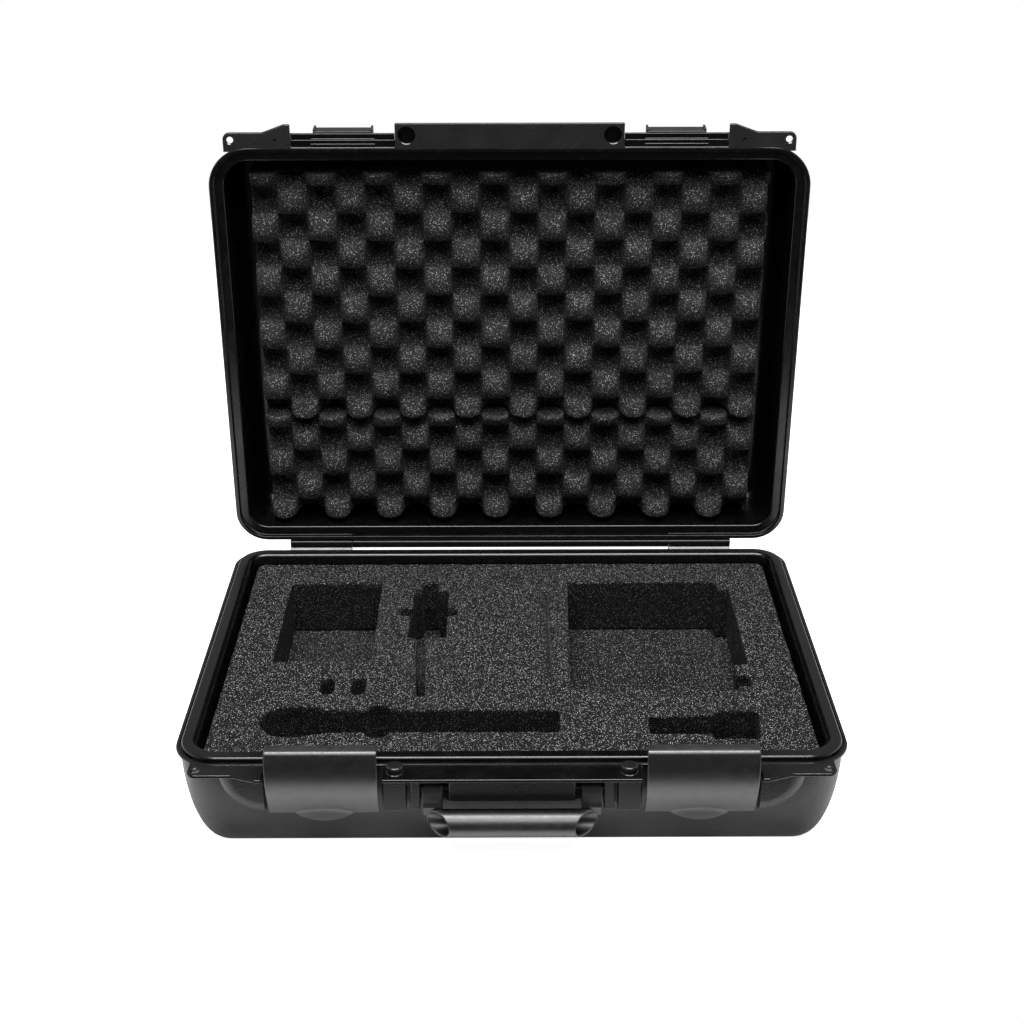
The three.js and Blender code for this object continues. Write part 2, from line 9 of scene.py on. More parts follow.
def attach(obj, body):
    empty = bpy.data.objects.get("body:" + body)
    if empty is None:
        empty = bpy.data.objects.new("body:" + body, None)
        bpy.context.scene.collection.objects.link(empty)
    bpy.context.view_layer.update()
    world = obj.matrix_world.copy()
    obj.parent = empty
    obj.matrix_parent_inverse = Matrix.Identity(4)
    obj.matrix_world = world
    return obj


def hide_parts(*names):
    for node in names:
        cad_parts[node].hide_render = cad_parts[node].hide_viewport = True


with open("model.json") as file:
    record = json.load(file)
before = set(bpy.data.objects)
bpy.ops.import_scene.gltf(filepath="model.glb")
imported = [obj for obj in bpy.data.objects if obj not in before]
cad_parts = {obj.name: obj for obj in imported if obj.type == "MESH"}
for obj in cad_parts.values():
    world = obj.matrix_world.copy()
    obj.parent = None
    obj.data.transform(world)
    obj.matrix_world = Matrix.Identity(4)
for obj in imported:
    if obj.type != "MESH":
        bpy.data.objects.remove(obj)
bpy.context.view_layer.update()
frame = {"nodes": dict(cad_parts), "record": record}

noise.seed_set(7)  # noise_vector moves with the seed, so the foam is the same in every run

# ---- Dimensions ------------------------------------------------------------------------------------
MM = 0.001
RECORD = frame["record"]
JOINTS = {joint["name"]: joint for joint in RECORD["behaviour"]["joints"]}
MOUNTS = {mount["name"]: mount for mount in RECORD["mounts"]}


def millimetres(values):
    return [value / MM for value in values]


_, HINGE_Y, HINGE_Z = millimetres(JOINTS["lid_hinge"]["pos_m"])
OPEN_ANGLE = math.radians(JOINTS["lid_hinge"]["range_deg"][1])
SHUT_TO_OPEN = (
    Matrix.Translation((0, HINGE_Y, HINGE_Z))
    @ Matrix.Rotation(-OPEN_ANGLE, 4, "X")
    @ Matrix.Translation((0, -HINGE_Y, -HINGE_Z))
)


def node_box(node, place=None):
    """Lowest and highest corner of a CAD node in millimetres, seen before it was placed."""
    back = place.inverted() if place else Matrix()
    points = [back @ (v.co / MM) for v in frame["nodes"][node].data.vertices]
    low = [min(p[i] for p in points) for i in range(3)]
    high = [max(p[i] for p in points) for i in range(3)]
    return low, high


RIM_HALF_WIDTH = node_box("base_shell")[1][0]
RIM_HALF_DEPTH = HINGE_Y - 5.5
RIM_CORNER = {"front": 34, "back": 28}
RIM_Z = MOUNTS["padlock_ear_left"]["pos_m"][2] / MM  # top of the base's flange
LID_Z = RIM_Z + 0.4  # the lid's rim face when it is shut
LID_HEIGHT = 62
BASE_FLANGE = 3
LID_FLANGE = 3
BULGE_INSET = 2.2  # from the rim's outline to the widest part of the body
FLOOR_THICKNESS = 4
TONGUE = {"outer": 4.2, "inner": 15.7, "height": 3.5}  # the ring round the base's opening
GROOVE = {"outer": 3.8, "inner": 10.6, "depth": 4.1}  # in the lid, for the ring
HINGE_WEB = 6

HINGE = {"radius": 4.6, "bore": 2.35, "half": 202.5, "split": 145.8}
FRONT = {"face": -196, "ear": -196.4, "hump": -203, "centre": -203.1, "bottom": 44.5}
EAR_HALF = 235.5
CENTRE_HALF = 94.2
LATCH_X = JOINTS["latch_right_swing"]["pos_m"][0] / MM
BAY_HALF = 42.9
PADLOCK = {"x": 229.5, "y": -189.4, "radius": 2.8}
STUD = {"x": 84.7, "y": -193.1, "foot": 4.2}
GUARD = {"inner": 180.1, "outer": 214.5}
LATCH_BORE, HANDLE_BORE = 2.05, 2.35
LINK_FOOT = millimetres(JOINTS["latch_right_swing"]["pos_m"])[1:]
LINK_HEAD = millimetres(JOINTS["latch_right_lever"]["pos_m"])[1:]
PIVOT = millimetres(JOINTS["handle_swing"]["pos_m"])[1:]
SIDES = (("left", -1), ("right", 1))


# ---- Camera ----------------------------------------------------------------------------------------
def add_camera():
    """At the height of a person who stands in front of the case, a little left of its middle."""
    place = Vector((-3.7, -1247.5, 750.1)) * MM
    pitch, yaw, roll = (math.radians(a) for a in (-23.96, -0.21, -0.075))
    data = bpy.data.cameras.new("camera")
    data.sensor_width = 36
    data.lens = 60.26
    data.clip_end = 60
    camera = bpy.data.objects.new("camera", data)
    bpy.context.scene.collection.objects.link(camera)
    turn = Matrix.Rotation(yaw, 4, "Z") @ Matrix.Rotation(math.pi / 2 + pitch, 4, "X")
    camera.matrix_world = Matrix.Translation(place) @ turn @ Matrix.Rotation(roll, 4, "Z")
    bpy.context.scene.camera = camera


add_camera()


# ---- Node materials --------------------------------------------------------------------------------
RANGE = ("From Min", "From Max", "To Min", "To Max")  # inputs of a Map Range node


class Surface:
    """A Principled material and short ways to add the nodes that drive it."""

    def __init__(self, name, **settings):
        self.material = bpy.data.materials.new(name)
        self.material.use_nodes = True
        self.tree = self.material.node_tree
        self.shader = self.tree.nodes["Principled BSDF"]
        for key, value in settings.items():
            self.shader.inputs[key.replace("_", " ")].default_value = value
        coords = self.tree.nodes.new("ShaderNodeTexCoord")
        self.place = coords.outputs["Object"]
        self.normal = coords.outputs["Normal"]

    def add(self, kind, **settings):
        node = self.tree.nodes.new("ShaderNode" + kind)
        for key, value in settings.items():
            setattr(node, key, value)
        return node

    def link(self, source, target):
        self.tree.links.new(source, target)

    def noise(self, size_mm, detail=2.0, roughness=0.5):
        node = self.add("TexNoise")
        node.inputs["Scale"].default_value = 1 / (size_mm * MM)
        node.inputs["Detail"].default_value = detail
        node.inputs["Roughness"].default_value = roughness
        self.link(self.place, node.inputs["Vector"])
        return node.outputs["Fac"]

    def cells(self, size_mm, feature="F1", output="Distance", smooth=0.0):
        node = self.add("TexVoronoi", feature=feature)
        node.inputs["Scale"].default_value = 1 / (size_mm * MM)
        if smooth:
            node.inputs["Smoothness"].default_value = smooth
        self.link(self.place, node.inputs["Vector"])
        return node.outputs[output]

    def spread(self, value, low, high, to_low=0.0, to_high=1.0):
        node = self.add("MapRange")
        for key, number in zip(RANGE, (low, high, to_low, to_high)):
            node.inputs[key].default_value = number
        self.link(value, node.inputs["Value"])
        return node.outputs["Result"]

    def sum(self, a, b, operation="ADD"):
        node = self.add("Math", operation=operation)
        for value, socket in ((a, node.inputs[0]), (b, node.inputs[1])):
            if isinstance(value, (int, float)):
                socket.default_value = value
            else:
                self.link(value, socket)
        return node.outputs[0]

    def blend_colour(self, factor, a, b):
        node = self.add("Mix", data_type="RGBA")
        self.link(factor, node.inputs["Factor"])
        for value, socket in ((a, node.inputs[6]), (b, node.inputs[7])):
            if isinstance(value, tuple):
                socket.default_value = (*value, 1)
            else:
                self.link(value, socket)
        return node.outputs[2]

    def colour(self, value):
        self.link(value, self.shader.inputs["Base Color"])

    def rough(self, value):
        self.link(value, self.shader.inputs["Roughness"])

    def bump(self, height, strength, depth_mm):
        node = self.add("Bump")
        node.inputs["Strength"].default_value = strength
        node.inputs["Distance"].default_value = depth_mm * MM
        self.link(height, node.inputs["Height"])
        self.link(node.outputs["Normal"], self.shader.inputs["Normal"])


def grey(level, tint=0.0):
    return (level, level, level * (1 + tint))


def pebbled_plastic():
    """Black moulding with a leathery spark-eroded grain."""
    s = Surface("pebbled_plastic", Specular_IOR_Level=0.5)
    pebbles = s.cells(1.5, "SMOOTH_F1", smooth=0.35)
    fine = s.noise(0.8, detail=3)
    s.colour(s.blend_colour(s.noise(35, detail=4), grey(0.004, 0.04), grey(0.008, 0.04)))
    s.rough(s.spread(s.sum(fine, s.noise(20), "MULTIPLY"), 0.1, 0.45, 0.36, 0.5))
    s.bump(s.sum(pebbles, s.sum(fine, 0.6, "MULTIPLY")), 0.6, 0.3)
    return s.material


def smooth_plastic():
    """Black moulding from a polished tool, with faint flow marks and handling scuffs."""
    s = Surface("smooth_plastic", Specular_IOR_Level=0.5)
    scuffs = s.spread(s.noise(3.5, detail=6, roughness=0.7), 0.55, 0.8)
    s.colour(s.blend_colour(scuffs, grey(0.001, 0.05), grey(0.004, 0.05)))
    s.rough(s.spread(s.noise(14, detail=5), 0.3, 0.7, 0.2, 0.3))
    s.bump(s.noise(1.1, detail=2), 0.15, 0.06)
    return s.material


def satin_plastic():
    """Charcoal satin moulding of the latches and the handle."""
    s = Surface("satin_plastic", Specular_IOR_Level=1.0)
    grain = s.noise(0.5, detail=2)
    wear = s.spread(s.noise(9, detail=6, roughness=0.65), 0.5, 0.75)
    s.colour(s.blend_colour(wear, grey(0.003, 0.06), grey(0.007, 0.06)))
    s.rough(s.spread(s.noise(6, detail=4), 0.3, 0.7, 0.36, 0.46))
    s.bump(grain, 0.3, 0.08)
    return s.material


def gloss_plastic():
    s = Surface("gloss_plastic", Specular_IOR_Level=0.5)
    s.colour(s.blend_colour(s.noise(2.5, detail=4), grey(0.006), grey(0.012)))
    s.rough(s.spread(s.noise(3, detail=3), 0.3, 0.7, 0.12, 0.22))
    s.bump(s.noise(2.0), 0.1, 0.05)
    return s.material


def bright_steel():
    """Drawn wire: faint rings of the drawing and a little tarnish."""
    s = Surface("bright_steel", Metallic=1.0)
    tarnish = s.spread(s.noise(5, detail=5), 0.45, 0.75)
    s.colour(s.blend_colour(tarnish, grey(0.58, -0.02), grey(0.30, -0.06)))
    s.rough(s.spread(s.noise(1.5, detail=3), 0.3, 0.7, 0.22, 0.4))
    s.bump(s.noise(0.6), 0.2, 0.03)
    return s.material


def blackened_steel():
    """Oxide-blackened pin, worn to a dull sheen."""
    s = Surface("blackened_steel", Metallic=1.0)
    s.colour(s.blend_colour(s.spread(s.noise(4, detail=4), 0.4, 0.7), grey(0.02), grey(0.05)))
    s.rough(s.spread(s.noise(1.5, detail=3), 0.3, 0.7, 0.35, 0.5))
    return s.material


def open_cell_foam(name, dark, light, painted_glint_level, share, upright=1.0):
    """Charcoal foam with painted glints, bright cells in its colour where cut cell walls catch the light,
    and painted shade in its pores; upright walls may carry painted shade, darker and with fewer glints.
    """
    s = Surface(name, Roughness=0.92, Specular_IOR_Level=0.2)
    pores = s.cells(1.0)
    glints = s.add("SeparateColor")
    s.link(s.cells(0.7, output="Color"), glints.inputs["Color"])
    facing = s.add("SeparateXYZ")
    s.link(s.normal, facing.inputs["Vector"])
    # Painted shade: colour and glints are scaled from 1 on faces that look up down to the upright level
    # on steep walls.
    painted_wall_shade = s.spread(facing.outputs["Z"], 0.3, 0.8, upright, 1.0)
    # Painted glints: a share of the small cells are coloured bright, most near their middles.
    glint = s.spread(glints.outputs["Red"], 1 - share, 1.0)
    glint = s.sum(glint, s.spread(s.cells(0.7), 0.55, 0.25), "MULTIPLY")
    glint = s.sum(glint, painted_wall_shade, "MULTIPLY")
    # Pore centres are painted darker than the faces between them, as painted shade in the cell hollows.
    body = s.blend_colour(s.spread(pores, 0.15, 0.75), grey(dark, 0.02), grey(light, 0.02))
    # Random tone across the foam, times the painted wall shade.
    tone_and_wall_shade = s.spread(s.noise(28, detail=3), 0.35, 0.7, 0.8, 1.15)
    tone_and_wall_shade = s.sum(tone_and_wall_shade, painted_wall_shade, "MULTIPLY")
    body_tone_and_shade = s.add("Mix", data_type="RGBA", blend_type="MULTIPLY")
    body_tone_and_shade.inputs["Factor"].default_value = 1.0
    s.link(body, body_tone_and_shade.inputs[6])
    s.link(tone_and_wall_shade, body_tone_and_shade.inputs[7])
    s.colour(s.blend_colour(glint, body_tone_and_shade.outputs[2], grey(painted_glint_level, 0.03)))
    s.bump(s.sum(pores, s.noise(2.4, detail=3)), 0.9, 0.7)
    return s.material


def pale_floor():
    """White sheet with a glow of its own that only the camera sees, so shadows on it stay faint."""
    s = Surface("pale_floor", Roughness=0.6, Specular_IOR_Level=0.2, Emission_Color=(1, 1, 1, 1))
    s.colour(s.blend_colour(s.noise(900, detail=2), grey(0.88), grey(0.90)))
    path = s.add("LightPath")
    s.link(s.sum(path.outputs["Is Camera Ray"], 0.93, "MULTIPLY"), s.shader.inputs["Emission Strength"])
    return s.material


PEBBLE = pebbled_plastic()
SMOOTH = smooth_plastic()
SATIN = satin_plastic()
GLOSS = gloss_plastic()
STEEL = bright_steel()
BLACK_STEEL = blackened_steel()
# First two numbers: painted pore shade and face colour; third: painted glint colour; the cut foam's last
# number: painted shade on its pocket walls.
CUT_FOAM = open_cell_foam("cut_foam", 0.001, 0.0045, 0.62, 0.24, 0.3)
FLOOR_FOAM = open_cell_foam("floor_foam", 0.001, 0.007, 0.55, 0.2)
LID_FOAM = open_cell_foam("lid_foam", 0.001, 0.017, 0.5, 0.22)


# ---- Outlines --------------------------------------------------------------------------------------
def arc(cx, cy, radius, start, end, steps):
    """Points of an arc; angles in degrees."""
    angles = [math.radians(start + (end - start) * i / steps) for i in range(steps + 1)]
    return [(cx + radius * math.cos(a), cy + radius * math.sin(a)) for a in angles]


def rounded(corners, steps=5):
    """Closed outline whose corners, each (x, y, radius), are rounded by true arcs."""
    outline = []
    for i, (x, y, radius) in enumerate(corners):
        here = Vector((x, y))
        if not radius:
            outline.append((x, y))
            continue
        before = (Vector(corners[i - 1][:2]) - here).normalized()
        after = (Vector(corners[(i + 1) % len(corners)][:2]) - here).normalized()
        half = before.angle(after) / 2
        reach = radius / math.tan(half)
        start, end, weight = here + before * reach, here + after * reach, math.sin(half)
        for step in range(steps + 1):
            t = step / steps
            a, b, c = (1 - t) ** 2, 2 * weight * t * (1 - t), t * t
            point = (start * a + here * b + end * c) / (a + b + c)
            outline.append((point.x, point.y))
    return outline


def bezier(p0, p1, p2, p3, steps):
    """Points of a cubic curve, without its first point."""
    points = []
    for i in range(1, steps + 1):
        t = i / steps
        weights = ((1 - t) ** 3, 3 * t * (1 - t) ** 2, 3 * t * t * (1 - t), t**3)
        points.append(tuple(sum(w * p[k] for w, p in zip(weights, (p0, p1, p2, p3))) for k in (0, 1)))
    return points


def inward(outline, distance):
    """The outline moved inwards; it runs anticlockwise."""
    moved = []
    for i, here in enumerate(outline):
        here = Vector(here)
        before = (here - Vector(outline[i - 1])).normalized()
        after = (Vector(outline[(i + 1) % len(outline)]) - here).normalized()
        normal = Vector((-before.y - after.y, before.x + after.x))
        if normal.length < 1e-6:
            normal = Vector((-after.y, after.x))
        normal.normalize()
        across = max(normal.dot(Vector((-after.y, after.x))), 0.4)
        moved.append(tuple(here + normal * (distance / across)))
    return moved


def anticlockwise(outline):
    area = sum(a[0] * b[1] - b[0] * a[1] for a, b in zip(outline, outline[1:] + outline[:1]))
    return outline if area > 0 else outline[::-1]


# ---- Meshes ----------------------------------------------------------------------------------------
def loft(rings, looks=None, wrap=False):
    """Vertices, faces and material numbers of a skin over rings that have equal counts."""
    count = len(rings[0])
    verts = [point for ring in rings for point in ring]
    faces, zones = [], []
    last = len(rings) if wrap else len(rings) - 1
    for r in range(last):
        base, above = r * count, ((r + 1) % len(rings)) * count
        for i in range(count):
            j = (i + 1) % count
            faces.append((base + i, base + j, above + j, above + i))
            zones.append(looks[r] if looks else 0)
    if not wrap:
        top = (len(rings) - 1) * count
        faces.append(tuple(range(count))[::-1])
        faces.append(tuple(range(top, top + count)))
        zones += [looks[0] if looks else 0, looks[-1] if looks else 0]
    return verts, faces, zones


def prism(outline, low, high, axis, edge_low=0.8, edge_high=0.8, look=0, steps=3):
    """An outline drawn along an axis, with its end edges rounded."""
    outline = anticlockwise(outline)
    along = {
        "x": lambda p, t: (t, p[0], p[1]),
        "y": lambda p, t: (p[0], t, p[1]),
        "z": lambda p, t: (p[0], p[1], t),
    }[axis]
    turns = [math.pi / 2 * i / steps for i in range(steps + 1)]
    curve = [(1 - math.sin(a), 1 - math.cos(a)) for a in turns]
    stations = [(edge_low * inset, low + edge_low * rise) for inset, rise in curve]
    stations += [(edge_high * inset, high - edge_high * rise) for inset, rise in curve[::-1]]
    rings = [[along(p, t) for p in inward(outline, inset)] for inset, t in stations]
    verts, faces, _ = loft(rings)
    return verts, faces, [look] * len(faces)


def slab(x0, x1, y0, y1, z0, z1, radius, look=0):
    """A block with rounded edges all over."""
    corners = [(x0, z0, radius), (x1, z0, radius), (x1, z1, radius), (x0, z1, radius)]
    return prism(rounded(corners, 3), y0, y1, "y", radius * 0.8, radius * 0.8, look)


def circle(cx, cy, radius, sides):
    return arc(cx, cy, radius, 0, 360 * (sides - 1) / sides, sides - 1)


def barrel(radius, x0, x1, y, z, look=0, edge=0.5, sides=40):
    """A rod along X with rounded ends."""
    end = [(0, radius - edge), (edge * 0.3, radius - edge * 0.3), (edge, radius)]
    stations = [(x0 + t, r) for t, r in end] + [(x1 - t, r) for t, r in end[::-1]]
    rings = [[(x, *point) for point in circle(y, z, r, sides)] for x, r in stations]
    verts, faces, _ = loft(rings)
    return verts, faces, [look] * len(faces)


def column(profile, x, y, sides=40, look=0):
    """A turned shape about an upright axis; the profile is (radius, z) from bottom to top."""
    rings = [[(*point, z) for point in circle(x, y, radius, sides)] for radius, z in profile]
    verts, faces, _ = loft(rings)
    return verts, faces, [look] * len(faces)


def build(name, shape, looks, place=None):
    """A Blender object from (vertices, faces, zones) in millimetres."""
    verts, faces, zones = shape
    mesh = bpy.data.meshes.new(name)
    mesh.from_pydata([Vector(v) * MM for v in verts], [], faces)
    for look in looks:
        mesh.materials.append(look)
    mesh.polygons.foreach_set("material_index", zones)
    tidy = bmesh.new()
    tidy.from_mesh(mesh)
    bmesh.ops.remove_doubles(tidy, verts=tidy.verts, dist=1e-6)
    bmesh.ops.dissolve_degenerate(tidy, edges=tidy.edges, dist=1e-7)
    bmesh.ops.recalc_face_normals(tidy, faces=tidy.faces)
    tidy.to_mesh(mesh)
    tidy.free()
    if place:
        turn = place.copy()
        turn.translation *= MM
        mesh.transform(turn)
    made = bpy.data.objects.new(name, mesh)
    bpy.context.scene.collection.objects.link(made)
    return made


def applied(made):
    """The object with its modifiers turned into mesh."""
    depsgraph = bpy.context.evaluated_depsgraph_get()
    mesh = bpy.data.meshes.new_from_object(made.evaluated_get(depsgraph))
    old = made.data
    made.modifiers.clear()
    made.data = mesh
    bpy.data.meshes.remove(old)
    return made


def carve(made, tools, operation):
    """Joins tools to an object, or cuts them out of it."""
    for tool in tools:
        step = made.modifiers.new(operation, "BOOLEAN")
        step.operation = operation
        step.solver = "EXACT"
        step.object = tool
    applied(made)
    for tool in tools:
        bpy.data.objects.remove(tool)
    return made


def moulding(name, body, adds, cuts, looks, place=None):
    """One clean solid out of a body, the shapes that join it and the shapes that cut it."""
    made = build(name, body, looks)
    made = carve(made, [build("tool", shape, looks) for shape in adds], "UNION")
    if cuts:
        made = carve(made, [build("tool", shape, looks) for shape in cuts], "DIFFERENCE")
    if place:
        turn = place.copy()
        turn.translation *= MM
        made.data.transform(turn)
    return made


def finish_edges(made, angle=32):
    """Smooth shading that keeps flat faces flat and sharp edges sharp."""
    mesh = made.data
    mesh.polygons.foreach_set("use_smooth", [True] * len(mesh.polygons))
    mesh.set_sharp_from_angle(angle=math.radians(angle))
    weighted = made.modifiers.new("weighted", "WEIGHTED_NORMAL")
    weighted.keep_sharp = True
    return made


def install(made, body, slot, *nodes):
    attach(made, body)
    if nodes:
        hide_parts(*nodes)
    return made


# ---- Rim and walls ---------------------------------------------------------------------------------
def rim_ring(inset, z, outside=False, steps=12):
    """The rim's outline moved inwards, at one height; outside, the body's corners are fuller."""
    fuller = 6 if outside else 0
    front_inset = BULGE_INSET + 0.72 * (inset - BULGE_INSET) if outside else inset
    ring = []
    for quarter in range(4):
        front = quarter > 1
        corner = max(RIM_CORNER["front" if front else "back"] + fuller - inset, 3)
        side = 1 if quarter in (0, 3) else -1
        cx = side * (RIM_HALF_WIDTH - inset - corner)
        cy = corner + front_inset - RIM_HALF_DEPTH if front else RIM_HALF_DEPTH - inset - corner
        ring += arc(cx, cy, corner, 90 * quarter, 90 * quarter + 90, steps)
    return [(x, y, z) for x, y in ring]


def walls(stations):
    """A tub from (inset, z, look) stations round its section, closed by two flat floors."""
    rings = [rim_ring(inset, z, look == GRAIN) for inset, z, look in stations]
    return loft(rings, [look for *_, look in stations])


def run(points, look):
    return [(inset, z, look) for inset, z in points]


def bulge(width, floor, top, steps=16):
    """Quarter ellipse from the flat of the outside (floor) to the widest part of the body (top)."""
    turns = [math.pi / 2 * i / steps for i in range(steps + 1)]
    return [(BULGE_INSET + width * (1 - math.sin(a)), top - (top - floor) * math.cos(a)) for a in turns]


GRAIN, PLAIN = 0, 1
SHELL_LOOKS = (PEBBLE, SMOOTH)


def base_walls():
    top, under = RIM_Z, RIM_Z - BASE_FLANGE
    crest, outer, inner = top + TONGUE["height"], TONGUE["outer"], TONGUE["inner"]
    round_out, round_in, floor_edge = 2.2, 3.4, 17
    stations = run(bulge(24.4, 0, under - 1.2), GRAIN)
    stations += run([(BULGE_INSET, under - 0.6), (BULGE_INSET - 0.4, under - 0.1)], GRAIN)
    stations += run(arc(1.0, under + 1.0, 1.0, 270, 180, 3), PLAIN)
    stations += run(arc(1.5, top - 1.5, 1.5, 180, 90, 4), PLAIN)
    stations += run([(2.6, top), (2.9, top - 0.3), (3.0, top - 1.3), (outer, top - 1.3)], PLAIN)
    stations += run(arc(outer + round_out, crest - round_out, round_out, 180, 90, 6), PLAIN)
    stations += run(arc(inner - round_in, crest - round_in, round_in, 90, 0, 8), PLAIN)
    stations += run(arc(inner + floor_edge, FLOOR_THICKNESS + floor_edge, floor_edge, 180, 270, 6), PLAIN)
    return walls(stations)


def lid_walls():
    face, over, roof = LID_Z, LID_Z + LID_FLANGE, LID_Z + LID_HEIGHT
    outer, inner, groove = GROOVE["outer"], GROOVE["inner"], face + GROOVE["depth"]
    wall_inset, inner_edge = 13, 12
    ceiling = roof - FLOOR_THICKNESS - inner_edge
    stations = run(bulge(22, roof, over + 1.2), GRAIN)
    stations += run([(BULGE_INSET, over + 0.6), (BULGE_INSET - 0.4, over + 0.1)], GRAIN)
    stations += run(arc(1.0, over - 1.0, 1.0, 90, 180, 3), PLAIN)
    stations += run(arc(1.4, face + 1.4, 1.4, 180, 270, 4), PLAIN)
    stations += run([(outer - 0.3, face), (outer - 0.1, face + 0.2)], PLAIN)
    stations += run([(outer, groove - 0.2), (outer + 0.2, groove)], PLAIN)
    stations += run(arc(inner, groove + 1.3, 1.3, 270, 360, 4), PLAIN)
    stations += run(arc(wall_inset + inner_edge, ceiling, inner_edge, 180, 90, 6), PLAIN)
    return walls(stations)


def front_plate(z0, z1, bay_edge, look, back=-172, shy=0.0):
    """Flange in front of the rim: centre run, latch notches, humps and padlock ears."""
    outer = LATCH_X + BAY_HALF
    ear, hump = FRONT["ear"] + shy, FRONT["hump"] + shy
    corners = [
        (CENTRE_HALF, FRONT["centre"], 1.2),
        (CENTRE_HALF, bay_edge, 1.5),
        (outer, bay_edge, 1.5),
        (outer, hump, 1.2),
        (outer + 5, hump, 2.5),
        (203, ear, 8),
        (EAR_HALF, ear, 6),
        (EAR_HALF, back, 0),
    ]
    left = [(-x, y, r) for x, y, r in corners[::-1]]
    return prism(rounded(left + corners, 6), z0, z1, "z", 0.9, 0.9, look)


def padlock_holes(z0, z1):
    shapes = []
    for _, side in SIDES:
        bore, mouth = PADLOCK["radius"], PADLOCK["radius"] + 0.9
        profile = [(mouth, z0 - 1), (mouth, z0), (bore, z0 + 0.9)]
        profile += [(bore, z1 - 0.9), (mouth, z1), (mouth, z1 + 1)]
        shapes.append(column(profile, side * PADLOCK["x"], PADLOCK["y"], 32, PLAIN))
    return shapes


# ---- Base shell ------------------------------------------------------------------------------------
def guard(side, top, bottom, face, depth, back):
    """Rounded guard beside a latch: a quarter ellipse whose outer edge curves back to the wall."""
    inner, outer, steps = GUARD["inner"], GUARD["outer"], 10
    rings = []
    for i in range(steps + 1):
        turn = math.pi / 2 * i / steps
        inset, y = depth * (1 - math.cos(turn)), face + depth * (1 - math.sin(turn))
        across, down = outer - inner - inset, top - bottom - inset
        edge = [(inner + across * c, top + down * s) for c, s in arc(0, 0, 1, -90, 0, 20)]
        rings.append([(side * x, y, z) for x, z in [(inner, top), *edge]])
    deep = [(x, back, z) for x, _, z in rings[0]]
    verts, faces, _ = loft([deep, *rings])
    return verts, faces, [GRAIN] * len(faces)


def base_front():
    """Blocks between the latches and the handle, the handle bay's panel, guards and latch ears."""
    top, bottom, face = RIM_Z - BASE_FLANGE + 1, FRONT["bottom"], FRONT["face"]
    shapes = []
    for _, side in SIDES:
        for inner, outer, front, back, low, high in (
            (76.9, CENTRE_HALF, face, -171.0, bottom, top),
            (66.8, 74.1, face + 0.8, -171.2, bottom + 0.3, top - 0.1),
            (67.6, CENTRE_HALF - 0.8, face + 8, -171.4, bottom + 1.1, top - 0.2),
        ):
            x0, x1 = sorted((side * inner, side * outer))
            shapes.append(slab(x0, x1, front, back, low, high, 1.8, GRAIN))
        shapes.append(guard(side, top, bottom - 4.5, face, 13, -172.3))
        centre = side * LATCH_X
        y, z = LINK_FOOT
        ear = [(-172, z - 8, 0), (y - 1, z - 6, 2), (y - 4, z, 3), (y - 1, z + 5, 2), (-172, z + 8, 0)]
        for x0 in (centre - 28, centre + 24):
            shapes.append(prism(rounded(ear, 3), x0, x0 + 4, "x", 0.5, 0.5, PLAIN))
    shapes.append(slab(-68.9, 68.9, -181.6, -171.6, bottom + 0.6, top - 0.3, 1.0, GRAIN))
    shapes.append(slab(-46.5, 46.5, -193, -177.8, 50.6, top - 0.4, 2.4, GRAIN))
    shapes.append(slab(-48.5, 48.5, -187.5, -178.2, 48.6, top - 0.5, 1.6, GRAIN))
    return shapes


def hinge_web(x0, x1, outline):
    return prism(outline, x0, x1, "x", 0.4, 0.4, PLAIN)


def base_knuckles():
    y, z, radius = HINGE_Y, HINGE_Z, HINGE["radius"]
    edge = RIM_HALF_DEPTH
    foot = RIM_Z - HINGE_WEB
    outline = [(edge - 4, foot), (y + 1.5, foot), (y + radius, z), (y, z),
               (y - 3.3, z - 3.3), (edge - 0.4, RIM_Z - 0.2), (edge - 4, RIM_Z - 0.2)]
    shapes = []
    for _, side in SIDES:
        x0, x1 = sorted((side * (HINGE["split"] + 0.4), side * HINGE["half"]))
        shapes += [barrel(radius, x0, x1, y, z, PLAIN), hinge_web(x0, x1, outline)]
    return shapes


def pin_bore(radius, half, place, centre=0.0):
    return barrel(radius, centre - half, centre + half, *place, look=PLAIN, edge=0.1, sides=24)


def stud_seats():
    radius = STUD["foot"] + 0.35
    profile = [(radius, RIM_Z - 2.2), (radius, RIM_Z + 1)]
    return [column(profile, side * STUD["x"], STUD["y"], 24, PLAIN) for _, side in SIDES]


def make_base_shell():
    low, high = RIM_Z - BASE_FLANGE + 0.1, RIM_Z - 0.2
    adds = [front_plate(low, high, -181.3, PLAIN), *base_front(), *base_knuckles()]
    cuts = [*padlock_holes(low, high), *stud_seats()]
    cuts.append(pin_bore(HINGE["bore"], HINGE["half"] + 1, (HINGE_Y, HINGE_Z)))
    cuts.append(pin_bore(HANDLE_BORE, 72, PIVOT))
    cuts += [pin_bore(LATCH_BORE, 29, LINK_FOOT, side * LATCH_X) for _, side in SIDES]
    made = moulding("base_shell_moulding", base_walls(), adds, cuts, SHELL_LOOKS)
    return install(finish_edges(made), "base", "shell_black", "base_shell")


# ---- Lid shell -------------------------------------------------------------------------------------
def lid_knuckle():
    y, z, radius, split = HINGE_Y, HINGE_Z, HINGE["radius"], HINGE["split"]
    edge = RIM_HALF_DEPTH
    outline = [(edge - 4, LID_Z + 0.2), (edge - 0.4, LID_Z + 0.2), (y - 3.3, z - 3.3), (y, z),
               (y, z + radius), (edge - 4, LID_Z + HINGE_WEB)]
    return [barrel(radius, -split, split, y, z, PLAIN), hinge_web(-split, split, outline)]


